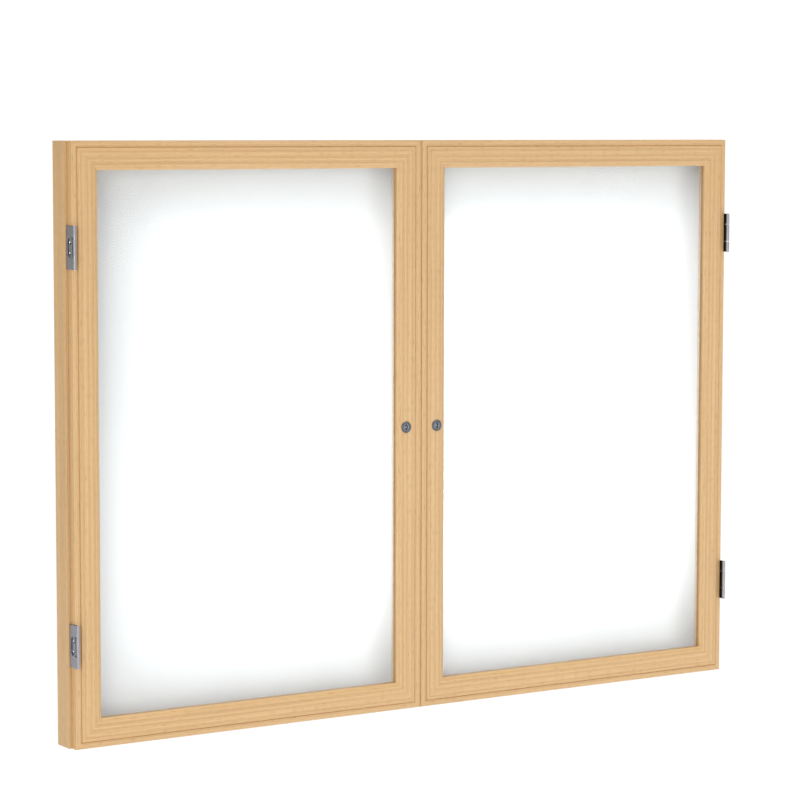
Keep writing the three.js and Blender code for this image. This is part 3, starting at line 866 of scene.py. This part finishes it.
# %% What both leaves share
knuckle_steps = 44
bore_sides = 40
clear_of = 8
sheet_edge = 0.12
slot_steps = 24
sheet_corner = 0.2
to_side = Matrix.Rotation(math.pi / 2, 4, "Z")
upright = Matrix.Rotation(math.pi / 2, 4, "X")
plate_across = Matrix(((0, 0, 1, 0), (1, 0, 0, 0), (0, 1, 0, 0), (0, 0, 0, 1)))
pin_bore = circle(pin_radius + pin_play, bore_sides)


def leaf_screw_place(end):
    return at(door_leaf_outside, screw_back, end * screw_up) @ to_side


def foot_screw_place(end):
    return at(foot_screw_across, foot_front, end * foot_screw_up)


def curl(*ends):
    """Points round the knuckle, clockwise from one distance outward to another."""
    first, last = [math.atan2(math.sqrt(knuckle_radius**2 - end**2), end) for end in ends]
    sweep = (first - last) % (2 * math.pi)
    return arc(knuckle_radius, first, first - sweep, knuckle_steps)


def countersink(size, through):
    """The cutter of a screw's hole, a little larger than the screw."""
    head = size["head"] + hole_play
    shank = size["shank"] + hole_play
    section = [(0, -overrun), (head, -overrun), (head, size["rim"]), (shank, size["cone"])]
    return turned([*section, (shank, through), (0, through)], screw_sides)


def across_knuckles(end, near, far, reach):
    """A cutter between two heights above the hinge's middle, or below it where end is -1."""
    low, high = sorted((end * near, end * far))
    return block((-clear_of, -clear_of, low), (clear_of, reach, high))


def slits():
    """The two gaps between knuckles, which run on into the plate."""
    return [across_knuckles(end, seam_start, seam_end, slit_reach) for end in (-1, 1)]


print("gaps between knuckles:", seam_end - seam_start, "mm")

# %% Cabinet leaf
def cabinet_leaf():
    bends = [
        (leaf_inside, foot_front, bend_inside),
        (foot_end, foot_front, sheet_corner),
        (foot_end, leaf_back, sheet_corner),
        (leaf_outside, leaf_back, bend_inside + leaf_thickness),
    ]
    outline = rounded(curl(leaf_outside, leaf_inside) + bends, steps=6)
    plate = extruded(outline, [pin_bore], 2 * hinge_half)
    top = [(screw_back + y, screw_up + z) for y, z in arc(slot_radius, 0, math.pi, slot_steps)]
    slot = extruded(top + [(2 * screw_back - y, -z) for y, z in top], [], 2 * clear_of)
    middle = across_knuckles(1, -seam_end, seam_end, past_knuckle)
    cuts = [middle, moved(slot, plate_across), *slits()]
    for end in (-1, 1):
        cuts.append(moved(countersink(foot_screw, leaf_thickness + overrun), foot_screw_place(end)))
    return carved(plate, cuts, edge=sheet_edge)


cabinet_leaf_mesh = cabinet_leaf()
print("cabinet leaf:", len(cabinet_leaf_mesh.polygons), "faces")

# %% Door leaf and pin
def door_leaf():
    back = [(x, door_leaf_back, sheet_corner) for x in (door_leaf_inside, door_leaf_outside)]
    outline = rounded(curl(door_leaf_outside, door_leaf_inside) + back)
    plate = extruded(outline, [pin_bore], 2 * hinge_half)
    cuts = slits()
    for end in (-1, 1):
        cuts.append(across_knuckles(end, seam_start, 2 * hinge_half, past_knuckle))
        cuts.append(moved(countersink(leaf_screw, leaf_thickness + overrun), leaf_screw_place(end)))
    return carved(plate, cuts, edge=sheet_edge)


def hinge_pin():
    tip = [(radius, pin_half - pin_radius + height) for radius, height in dome(pin_radius, pin_radius, 6)]
    section = [(radius, -depth) for radius, depth in tip] + tip[::-1]
    return carved(moved(turned(section, bore_sides), upright))


door_leaf_mesh = door_leaf()
hinge_pin_mesh = hinge_pin()
print("door leaf:", len(door_leaf_mesh.polygons), "faces")

# %% [markdown]
# ## Finish of the hinges
# The leaves are satin nickel where they show. Their inner sides, which face the wood, have shade painted on
# them nearly black, and shade is painted dark below the middle of each leaf screw. Both could be painted
# pieces of their own, but where they lie is known from the hinge's own sizes, so one network finds them by
# place.

# %% Hinge finishes
nickel = (0.42, 0.42, 0.455, 1)
nickel_roughness = 0.5


def painted_inner_shade(limit):
    """Where a leaf's plate is nearer to the door's middle than a distance outward from the pin's axis."""
    # Painted shade: the inner side of a leaf, which faces the wood, is painted nearly black.
    def painted_shade(finish, x, y, z):
        across = abs(x) / mm - axis_x
        back = y / mm - axis_y
        return finish.between(across, limit + 0.3, limit) * finish.between(back, 1.4, 2.0)
    return painted_shade


def painted_screw_shade(finish, x, y, z):
    """Painted shade below each leaf screw's middle, and forward of it. Signs say which hinge and which screw
    it is.
    """
    up = z / mm
    from_hinge = abs(up) - hinge_up
    from_screw = abs(from_hinge) - screw_up
    below = -(from_screw * up.sign() * from_hinge.sign())
    forward = axis_y + screw_back - y / mm
    return finish.between(below * 0.7 + forward * 0.7, 1.0, 1.7)


# Painted shade on the inner sides of the cabinet leaf and the door leaf.
cabinet_leaf_shade = painted_inner_shade(leaf_inside + 0.3)
door_leaf_shade = painted_inner_shade(door_leaf_inside + 0.5)
upward = 2
cabinet_leaf_nickel = metal("cabinet_leaf_nickel", nickel, nickel_roughness, upward, cabinet_leaf_shade)
door_leaf_nickel = metal("door_leaf_nickel", nickel, nickel_roughness, upward, door_leaf_shade)
# Bright zinc with shade painted dark below the middle of each leaf screw's head.
shaded_screw_zinc = metal("shaded_screw_zinc", bright, 0.25, painted_shade=painted_screw_shade)
print("hinge finishes made")

# %% Four hinges
for side, out in sides:
    for level, up in (("upper", 1), ("lower", -1)):
        middle = at(out * axis_x, axis_y, up * hinge_up) @ Matrix.Diagonal((out, 1, 1, 1))
        pieces = [
            ("hinge_cabinet_leaf", cabinet_leaf_mesh, Matrix(), cabinet_leaf_nickel),
            ("hinge_door_leaf", door_leaf_mesh, Matrix(), door_leaf_nickel),
            ("hinge_pin", hinge_pin_mesh, Matrix(), bright_zinc),
        ]
        for label, end in (("high", 1), ("low", -1)):
            pieces.append((f"leaf_screw_{label}", leaf_screw_mesh, leaf_screw_place(end), shaded_screw_zinc))
            pieces.append((f"foot_screw_{label}", foot_screw_mesh, foot_screw_place(end), bright_zinc))
        for label, mesh, place, material in pieces:
            stand_in(f"{side}_{level}_{label}", mesh, middle @ place, material)
print("hinges", round(hinge_up, 1), "mm above and below the middle")

# %% [markdown]
# ## Locks
# Each lock is a small cam lock. Its housing has a rounded flange that rests on the stile, with a raised ring
# round the plug, and a threaded barrel that a nut draws tight behind. The plug turns with the key, and the
# cam on its square tail swings behind the strike plate. The keyhole is a pointed oval with a pin in it.

# %% Sizes of the locks
housing_low, housing_high = box_of("right_lock_housing")
plug_low, plug_high = box_of("right_lock_plug")
nut_low, nut_high = box_of("right_lock_nut")
cam_low, cam_high = box_of("right_lock_cam")
cam_screw_low, cam_screw_high = box_of("right_lock_cam_screw")
face_y = box_of("right_door_lock_stile")[0].y

lock_across = (housing_low.x + housing_high.x) / 2
flange_radius = (housing_high.z - housing_low.z) / 2
flange_front = housing_low.y - face_y
barrel_end = housing_high.y - face_y
barrel_radius = 6.6
lock_thread_depth = 0.35
lock_thread_pitch = 0.8
lock_thread_from = -16.6
lock_thread_to = -10
flange_rim = 0.9
groove_outside = 7.3
groove_inside = 6.4
groove_slope = 0.2
groove_bottom = 0.25
cup_radius = 5.75
cup_depth = 0.4
plug_front = plug_low.y - face_y
plug_end = plug_high.y - face_y
plug_head = (plug_high.x - plug_low.x) / 2
plug_head_depth = 2.2
plug_radius = 4.2
turning_play = 0.08
tail_half = 2.7
keyhole_half = (2.4, 4.3)
keyhole_depth = 1.0
keyhole_pin = 0.85
key_slot_half = (0.8, 3.4)
key_slot_depth = 5
# Depths behind the plug's front over which shade is painted into the keyhole.
shade_from = 0.15
shade_full = 0.6
pin_end = 5.6
plug_step = 0.2
cam_screw_shank = 1.5
cam_screw_head = (cam_screw_high.x - cam_screw_low.x) / 2
cam_screw_head_depth = 1.6
cam_screw_thread = 0.3
driver_slot_half = 0.6
nut_round = 0.4
nose_round = 1
lock_sides = 64
cam_screw_sides = 40
keyhole_pin_sides = 22
print("lock axes", round(2 * lock_across, 2), "mm apart")

# %% [markdown]
# ## Finish of the plug
# The plug is a grey plate with a bright pin, and inside the keyhole shade is painted nearly black. Three
# materials could be put on its faces by hand. Here one network tells them apart by their distance from the
# lock's axis and their depth.

# %% Finish of the plug
plate_dark = (0.11, 0.12, 0.135, 1)
plate_light = (0.15, 0.163, 0.18, 1)
pin_bright = (0.85, 0.85, 0.87, 1)
# Painted shade inside the keyhole.
keyhole_painted_shade = (0.012, 0.012, 0.014, 1)


def keyhole_finish():
    finish = Finish("keyhole_plate")
    x, y, z = finish.place()
    marks = finish.noise(*[p * mark_frequency for p in (x, y, z)], 2.0, 0.6)
    across = (abs(x) - lock_across * mm) / mm
    up = z / mm
    from_axis = (across * across + up * up) ** 0.5
    front = face_y + plug_front
    # Painted shade: behind the plug's front, inside the keyhole, the plate is painted nearly black.
    deep = finish.between(y / mm, front + shade_from, front + shade_full)
    pin = finish.between(from_axis, keyhole_pin + 0.12, keyhole_pin + 0.02)
    inside = finish.mix(deep, finish.mix(marks, plate_dark, plate_light), keyhole_painted_shade)
    return finish.surface(
        Base_Color=finish.mix(pin, inside, pin_bright),
        Metallic=1.0,
        Roughness=0.34 + (marks - 0.5) * 0.15,
        Normal=finish.bump(marks, metal_relief),
    )


keyhole_plate = keyhole_finish()
print("plug finished")

# %% Housing and plug
def lock_housing():
    """From the bore's back end over the thread and the flange to the front, and back through the bore."""
    bore = plug_radius + turning_play
    head_bore = plug_head + turning_play
    front = flange_front
    root = barrel_radius - lock_thread_depth
    thread = ringed(barrel_radius, root, lock_thread_from, lock_thread_to, lock_thread_pitch)
    section = [(bore, barrel_end), (root, barrel_end), *[(r, -depth) for r, depth in thread]]
    flange = [
        (barrel_radius, 0),
        (flange_radius, 0, 0.1),
        (flange_radius, front + 1.0, 0.3),
        (flange_radius - flange_rim, front, 0.4),
        (groove_outside, front, 0.08),
        (groove_outside - groove_slope, front + groove_bottom, 0.08),
        (groove_inside + groove_slope, front + groove_bottom, 0.08),
        (groove_inside, front, 0.08),
        (cup_radius, front, 0.15),
        (head_bore, front + cup_depth, 0.15),
        (head_bore, plug_head_depth),
        (bore, plug_head_depth),
    ]
    outline = rounded(section + flange)
    return carved(turned([*outline, outline[0]], lock_sides))


def pointed_oval(half_width, half_height):
    """Two arcs that meet in a point above and below."""
    radius = (half_height**2 + half_width**2) / (2 * half_width)
    reach = math.asin(half_height / radius)
    right = [(x - radius + half_width, y) for x, y in arc(radius, -reach, reach, 16)]
    return right + [(-x, -y) for x, y in right[1:-1]]


def lock_plug():
    head_back = plug_head_depth - plug_step
    end = barrel_end + plug_step
    section = [(0, plug_front), (plug_head, plug_front, 0.4), (plug_head, head_back)]
    section += [(plug_radius, head_back), (plug_radius, end, 0.2), (0, end)]
    body = turned(rounded(section), lock_sides)
    oval = extruded(pointed_oval(*keyhole_half), [], 2 * keyhole_depth)
    recess = moved(oval, at(0, plug_front, 0) @ upright)
    wide, high = key_slot_half
    key_slot = block((-wide, plug_front - 1, -high), (wide, plug_front + key_slot_depth, high))
    screw_reach = cam_screw_low.y - face_y - plug_step
    screw_hole = rod(cam_screw_shank + turning_play, screw_reach, plug_end + 1, cam_screw_sides)
    tail = block((-tail_half, end - 2, -tail_half), (tail_half, plug_end, tail_half))
    plug = carved(body, [recess, key_slot, screw_hole], joined=[tail])
    pin = [(0, plug_front + 0.1), (keyhole_pin * 0.7, plug_front + 0.2), (keyhole_pin, plug_front + 0.5)]
    pin += [(keyhole_pin, plug_front + pin_end), (0, plug_front + pin_end)]
    return carved(bmesh_of(plug), joined=[turned(pin, keyhole_pin_sides)])


housing_mesh = lock_housing()
plug_mesh = lock_plug()
print("housing and plug:", len(housing_mesh.polygons), "and", len(plug_mesh.polygons), "faces")

# %% Nut, cam and its screw
def facing_front(plate, low, high):
    """Turns a plate to face the front and sets it midway between two depths."""
    return moved(plate, at(0, (low.y + high.y) / 2 - face_y, 0) @ upright)


def lock_nut():
    corner = (nut_high.z - nut_low.z) / 2
    hexagon = [(-y, x, nut_round) for x, y in circle(corner, 6)]
    bore = circle(barrel_radius + hole_play, lock_sides)
    plate = extruded(rounded(hexagon), [bore], nut_high.y - nut_low.y)
    return carved(facing_front(plate, nut_low, nut_high), edge=plate_edge)


def lock_cam():
    half = (cam_high.x - cam_low.x) / 2
    nose = half / 2
    low = cam_low.z
    tip = [(-half, low + nose), (nose - half, low), (half - nose, low), (half, low + nose)]
    hole = tail_half + turning_play
    square = [(-hole, -hole), (hole, -hole), (hole, hole), (-hole, hole)]
    outline = rounded(arc(half, 0, math.pi, 20) + [(x, z, nose_round) for x, z in tip])
    plate = extruded(outline, [square], cam_high.y - cam_low.y)
    return carved(facing_front(plate, cam_low, cam_high), edge=plate_edge)


def cam_screw():
    low = cam_screw_low.y - face_y
    high = cam_screw_high.y - face_y
    seat = high - cam_screw_head_depth
    root = cam_screw_shank - cam_screw_thread
    section = [(0, low), *ringed(cam_screw_shank, root, low + 0.4, seat - 0.4, lock_thread_pitch)]
    section += [(cam_screw_shank, seat), (cam_screw_head, seat), (cam_screw_head, seat + 0.6)]
    section += [(cam_screw_head * 0.9, high - 0.4), (cam_screw_head * 0.6, high - 0.08), (0, high)]
    reach = 2 * cam_screw_head
    slot = block((-reach, high - 0.8, -driver_slot_half), (reach, high + 1, driver_slot_half))
    return carved(turned(section, cam_screw_sides), [slot])


nut_mesh = lock_nut()
cam_mesh = lock_cam()
cam_screw_mesh = cam_screw()
print("nut and cam:", len(nut_mesh.polygons), "and", len(cam_mesh.polygons), "faces")

# %% Two locks
lock_pieces = [
    ("housing", housing_mesh, grey_plate),
    ("plug", plug_mesh, keyhole_plate),
    ("nut", nut_mesh, dull_zinc),
    ("cam", cam_mesh, dull_zinc),
    ("cam_screw", cam_screw_mesh, bright_zinc),
]
for side, out in sides:
    place = at(out * lock_across, face_y, 0)
    for label, mesh, material in lock_pieces:
        stand_in(f"{side}_lock_{label}", mesh, place, material)
print("locks in place")

# %% [markdown]
# ## Door members
# Each door is four lengths of one moulding, mitred at 45 degrees. Its section has a rounded outer corner, a
# low band with a small V groove beside it, a raised face, a bevel down to the pane, and the pane's rebate
# behind. The frame's solids have this section with sharp corners. A Bevel modifier would round the mitres
# too, and dark lines would show there, so the section itself is drawn with rounds and run along each member.

# %% Section of a door member
stile_low, stile_high = box_of("right_door_hinge_stile")
pane_low, pane_high = box_of("right_pane")
outer_x = door_outer / mm
meeting_x = door_meeting / mm
centre_x = door_centre / mm
door_width = outer_x - meeting_x
door_height = stile_high.z - stile_low.z
member_width = stile_high.x - stile_low.x
face_height = stile_high.y - stile_low.y
band_drop = 1.3
band_height = face_height - band_drop
pane_play = 0.2
rebate_depth = stile_high.y - pane_low.y + pane_play
rebate_width = 7
bevel_width = 6.3
bevel_depth = 3.3
groove_middle = 9.5
groove_half = 0.8
groove_depth = 1.3
mitre_play = 0.02
drill_front = 0.5
drill_depth = 14.3
mortise_play = 0.2
section_corners = [
    (0, 0, 0.6),
    (member_width - rebate_width, 0, 0.3),
    (member_width - rebate_width, rebate_depth),
    (member_width, rebate_depth, 0.15),
    (member_width, face_height - bevel_depth, 0.3),
    (member_width - bevel_width, face_height, 0.5),
    (groove_middle + groove_half, face_height, 0.4),
    (groove_middle, band_height - groove_depth, 0.12),
    (groove_middle - groove_half, band_height, 0.25),
    (0, band_height, 1.1),
]
member_section = rounded(section_corners, steps=4)
print("door section:", round(member_width, 1), "x", round(face_height, 2), "mm")

# %% Mitred lengths of it
def mitred(run):
    """A member along X, its outer edge up and its face to the front, with both ends cut at 45 degrees."""
    shape = bmesh.new()
    ends = []
    for end in (-1, 1):
        reach = [end * (run / 2 - inset - mitre_play) for inset, height in member_section]
        ends.append([shape.verts.new((r, -h, -i)) for r, (i, h) in zip(reach, member_section)])
    first, last = ends
    for n in range(len(first)):
        shape.faces.new((first[n - 1], first[n], last[n], last[n - 1]))
    caps = [shape.faces.new(ring) for ring in ends]
    bmesh.ops.triangulate(shape, faces=caps)
    bmesh.ops.recalc_face_normals(shape, faces=shape.faces)
    return shape


def hinge_stile():
    """Mortises for the door leaves, and holes for their screws."""
    cuts = []
    half = hinge_half + mortise_play
    deep = leaf_thickness + hole_play
    screw_height = stile_high.y - axis_y - screw_back
    for hinge in (-hinge_up, hinge_up):
        low = (hinge - half, -face_height - overrun, -deep)
        cuts.append(block(low, (hinge + half, overrun, overrun)))
        for screw in (-screw_up, screw_up):
            drill = rod(leaf_screw["shank"] + hole_play, drill_front, drill_depth, screw_sides)
            down = at(hinge + screw, -screw_height, 0) @ Matrix.Rotation(-math.pi / 2, 4, "X")
            cuts.append(moved(drill, down))
    return carved(mitred(door_height), cuts)


def lock_stile():
    """A hole for the lock's barrel."""
    drill = rod(barrel_radius + hole_play, -face_height - overrun, overrun, lock_sides)
    place = at(0, 0, meeting_x - lock_across)
    return carved(mitred(door_height), [moved(drill, place)])


hinge_stile_mesh = hinge_stile()
lock_stile_mesh = lock_stile()
rail_mesh = carved(mitred(door_width))
print("stiles:", len(hinge_stile_mesh.polygons), "and", len(lock_stile_mesh.polygons), "faces")

# %% Two doors
def turned_by(quarters, across, up):
    """Places a member on a side of a door: 0 quarters for the top, 1 right, 2 bottom and -1 left."""
    return at(across, stile_high.y, up) @ Matrix.Rotation(quarters * math.pi / 2, 4, "Y")


def oak_of(name):
    return nodes[name].material_slots[0].material


for side, out in sides:
    pieces = [
        ("hinge_stile", hinge_stile_mesh, turned_by(out, out * outer_x, 0)),
        ("lock_stile", lock_stile_mesh, turned_by(-out, out * meeting_x, 0)),
        ("top_rail", rail_mesh, turned_by(0, out * centre_x, door_height / 2)),
        ("bottom_rail", rail_mesh, turned_by(2, out * centre_x, -door_height / 2)),
    ]
    for label, mesh, place in pieces:
        name = f"{side}_door_{label}"
        stand_in(name, mesh, place, oak_of(name))
print("doors in place")

# %% [markdown]
# ## Panes, seals and the meeting strip
# Each pane is held in a soft tan seal between the rebate and the bead, so that no dark slot shows round the
# sight opening. The left door carries a thin oak strip that fills the seam between the doors. Without them,
# the eye looks into the rebate and through the seam. These pieces are the scene's own and hide no solid.

# %% Panes and seals
sight_across = door_width / 2 - member_width
sight_up = door_height / 2 - member_width
seal_width = 6.6
seal_play = 0.05
seal_lip = 0.15
seal_light = (0.4, 0.19, 0.04, 1)
seal_dark = (0.34, 0.16, 0.032, 1)


def sight_rectangle(grown):
    across, up = sight_across + grown, sight_up + grown
    return [(-across, -up), (across, -up), (across, up), (-across, up)]


def seal_finish():
    finish = Finish("seal")
    bloom = finish.noise(*[p * 300 for p in finish.place()])
    return finish.surface(
        Base_Color=finish.mix(bloom, seal_dark, seal_light),
        Roughness=0.55 + bloom * 0.1,
        Normal=finish.bump(bloom, 0.00003),
    )


seal = seal_finish()
seal_front = -rebate_depth + seal_play
seal_back = pane_high.y - stile_high.y + seal_lip
pane_corners = [(x, z, 0.3) for x, z in sight_rectangle(-seal_play)]
pane_plate = extruded(rounded(pane_corners), [], pane_high.y - pane_low.y)
pane_mesh = carved(pane_plate)
seal_plate = extruded(sight_rectangle(seal_width), [sight_rectangle(0)], seal_back - seal_front)
seal_mesh = carved(seal_plate)
for side, out in sides:
    across = out * centre_x
    place = at(across, (pane_low.y + pane_high.y) / 2, 0) @ upright
    stand_in(f"{side}_pane", pane_mesh, place, clear)
    place = at(across, stile_high.y + (seal_front + seal_back) / 2, 0) @ upright
    placed(f"{side}_pane_seal", seal_mesh, place, seal, f"{side}_door")
print("sight opening:", round(2 * sight_across, 1), "x", round(2 * sight_up, 1), "mm")

# %% Meeting strip
strip_right = 1.0
strip_set_back = 1.2
strip_front = strip_set_back - band_height
strip_back = -2
strip_left = -meeting_x
strip_corners = [
    (strip_left, strip_back, 0.2),
    (strip_left, strip_front),
    (strip_right, strip_front, 0.4),
    (strip_right, strip_back, 0.2),
]
strip_plate = extruded(rounded(strip_corners), [], door_height)
strip_mesh = carved(strip_plate)
strip_place = at(0, stile_high.y, 0)
strip_oak = oak_of("left_door_lock_stile")
placed("meeting_strip", strip_mesh, strip_place, strip_oak, "left_door")
print("strip from", round(strip_left, 2), "to", strip_right, "mm")

# %% [markdown]
# ## Floor finish
# The floor is pale and slightly mottled, and lit a little from below like an opal table, so that it runs into
# the white behind it. More light from above would do that too, but would burn out the oak's top edges.

# %% Floor finish
floor_dark = (0.96, 0.96, 0.96, 1)
floor_light = (0.985, 0.985, 0.985, 1)
floor_glow = 0.1


def studio_floor():
    finish = Finish("studio_floor")
    x, y, z = finish.place()
    mottle = finish.noise(x * 3, y * 3, 0.0, 3.0)
    return finish.surface(
        Base_Color=finish.mix(mottle, floor_dark, floor_light),
        Roughness=0.9,
        Emission_Color=(1, 1, 1, 1),
        Emission_Strength=floor_glow,
    )


floor.data.materials.append(studio_floor())
print("floor finished")
